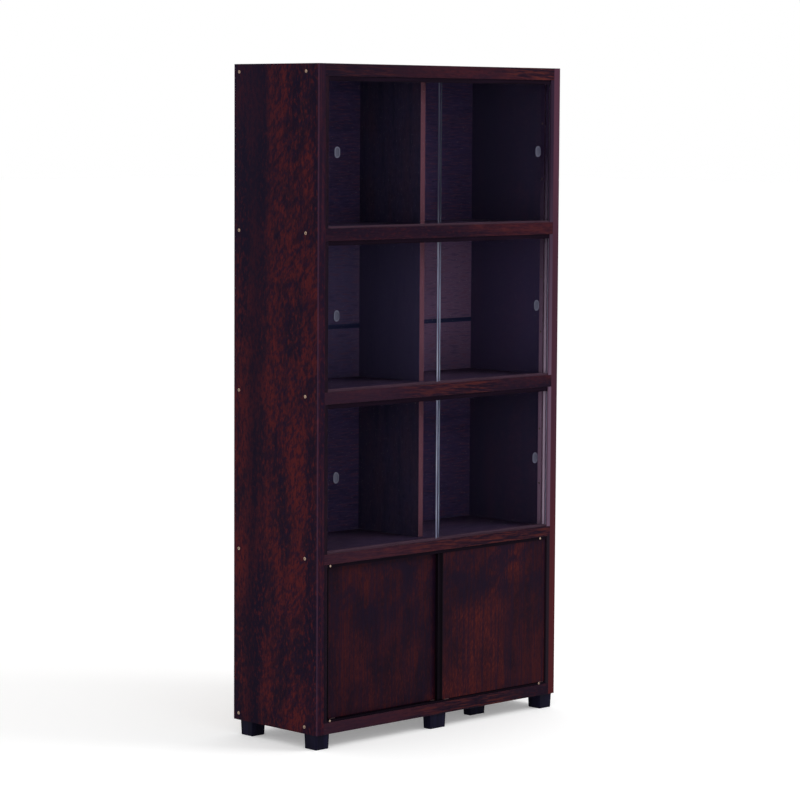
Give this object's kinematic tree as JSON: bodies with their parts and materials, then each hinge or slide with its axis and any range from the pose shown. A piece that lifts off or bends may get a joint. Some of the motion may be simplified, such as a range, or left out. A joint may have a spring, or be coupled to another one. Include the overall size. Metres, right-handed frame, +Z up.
{
  "type": "bookcase with sliding doors",
  "caption": "Tall dark wood-grain bookcase: stacked bays with sliding glass panes over a cupboard with sliding wooden doors, on block feet.",
  "frame": {"origin": "centre of the footprint, at floor level", "axes": "+Z up, -Y out of the front (doors), +X to the right as seen from the front"},
  "size_m": [0.9182, 0.33, 1.8],
  "materials": {
    "side_foil": "dark red-brown wood-grain foil, satin",
    "board_foil": "dark red-brown wood-grain foil, satin",
    "rail_foil": "dark red-brown wood-grain foil with lengthwise grain, glossy",
    "jamb_foil": "dark red-brown wood-grain foil, glossy",
    "back_foil": "dark printed hardboard with lengthwise grain, satin",
    "joint_plastic": "black-brown plastic strip",
    "door_foil": "dark red-brown wood-grain foil, satin",
    "grip_plastic": "black-brown plastic, matt",
    "nylon": "pale nylon",
    "glass_track_plastic": "brown-grey plastic, glossy",
    "door_track_plastic": "black-brown plastic",
    "glass": "clear float glass with ground edges",
    "pull_plastic": "light grey plastic",
    "foot_plastic": "blue-black moulded plastic",
    "brass": "brass-plated, slightly dull",
    "steel": "bright steel nails",
    "beech": "plain beech"
  },
  "bodies": {
    "cabinet": {"left_side_panel": "side_foil", "right_side_panel": "side_foil", "bottom_panel": "board_foil", "lower_shelf": "board_foil", "middle_shelf": "board_foil", "upper_shelf": "board_foil", "top_panel": "board_foil", "lower_divider": "board_foil", "middle_divider": "board_foil", "upper_divider": "board_foil", "bottom_rail": "rail_foil", "lower_rail": "rail_foil", "middle_rail": "rail_foil", "upper_rail": "rail_foil", "top_rail": "rail_foil", "upper_bay_left_jamb": "jamb_foil", "upper_bay_right_jamb": "jamb_foil", "middle_bay_left_jamb": "jamb_foil", "middle_bay_right_jamb": "jamb_foil", "lower_bay_left_jamb": "jamb_foil", "lower_bay_right_jamb": "jamb_foil", "cabinet_left_jamb": "jamb_foil", "cabinet_right_jamb": "jamb_foil", "upper_back_sheet": "back_foil", "lower_back_sheet": "back_foil", "back_joint_strip": "joint_plastic", "upper_bay_top_track": "glass_track_plastic", "upper_bay_bottom_track": "glass_track_plastic", "middle_bay_top_track": "glass_track_plastic", "middle_bay_bottom_track": "glass_track_plastic", "lower_bay_top_track": "glass_track_plastic", "lower_bay_bottom_track": "glass_track_plastic", "cabinet_top_track": "door_track_plastic", "cabinet_bottom_track": "door_track_plastic", "corner_feet": "foot_plastic", "middle_feet": "foot_plastic", "carcass_screws": "brass", "jamb_screws": "brass", "track_studs": "brass", "back_nails": "steel", "dowels": "beech"},
    "upper_left_pane": {"upper_bay_left_glass": "glass", "upper_bay_left_pull": "pull_plastic"},
    "upper_right_pane": {"upper_bay_right_glass": "glass", "upper_bay_right_pull": "pull_plastic"},
    "middle_left_pane": {"middle_bay_left_glass": "glass", "middle_bay_left_pull": "pull_plastic"},
    "middle_right_pane": {"middle_bay_right_glass": "glass", "middle_bay_right_pull": "pull_plastic"},
    "lower_left_pane": {"lower_bay_left_glass": "glass", "lower_bay_left_pull": "pull_plastic"},
    "lower_right_pane": {"lower_bay_right_glass": "glass", "lower_bay_right_pull": "pull_plastic"},
    "left_wooden_door": {"left_door": "door_foil", "left_door_grip": "grip_plastic", "left_door_glides": "nylon"},
    "right_wooden_door": {"right_door": "door_foil", "right_door_grip": "grip_plastic", "right_door_glides": "nylon"}
  },
  "joints": [
    {"name": "upper_left_pane_slide", "type": "slide", "parent": "cabinet", "child": "upper_left_pane", "axis": [1, 0, 0], "range_m": [0, 0.413]},
    {"name": "upper_right_pane_slide", "type": "slide", "parent": "cabinet", "child": "upper_right_pane", "axis": [1, 0, 0], "range_m": [-0.413, 0]},
    {"name": "middle_left_pane_slide", "type": "slide", "parent": "cabinet", "child": "middle_left_pane", "axis": [1, 0, 0], "range_m": [0, 0.413]},
    {"name": "middle_right_pane_slide", "type": "slide", "parent": "cabinet", "child": "middle_right_pane", "axis": [1, 0, 0], "range_m": [-0.413, 0]},
    {"name": "lower_left_pane_slide", "type": "slide", "parent": "cabinet", "child": "lower_left_pane", "axis": [1, 0, 0], "range_m": [0, 0.413]},
    {"name": "lower_right_pane_slide", "type": "slide", "parent": "cabinet", "child": "lower_right_pane", "axis": [1, 0, 0], "range_m": [-0.413, 0]},
    {"name": "left_wooden_door_slide", "type": "slide", "parent": "cabinet", "child": "left_wooden_door", "axis": [1, 0, 0], "range_m": [0, 0.4145]},
    {"name": "right_wooden_door_slide", "type": "slide", "parent": "cabinet", "child": "right_wooden_door", "axis": [1, 0, 0], "range_m": [-0.4145, 0]}
  ]
}
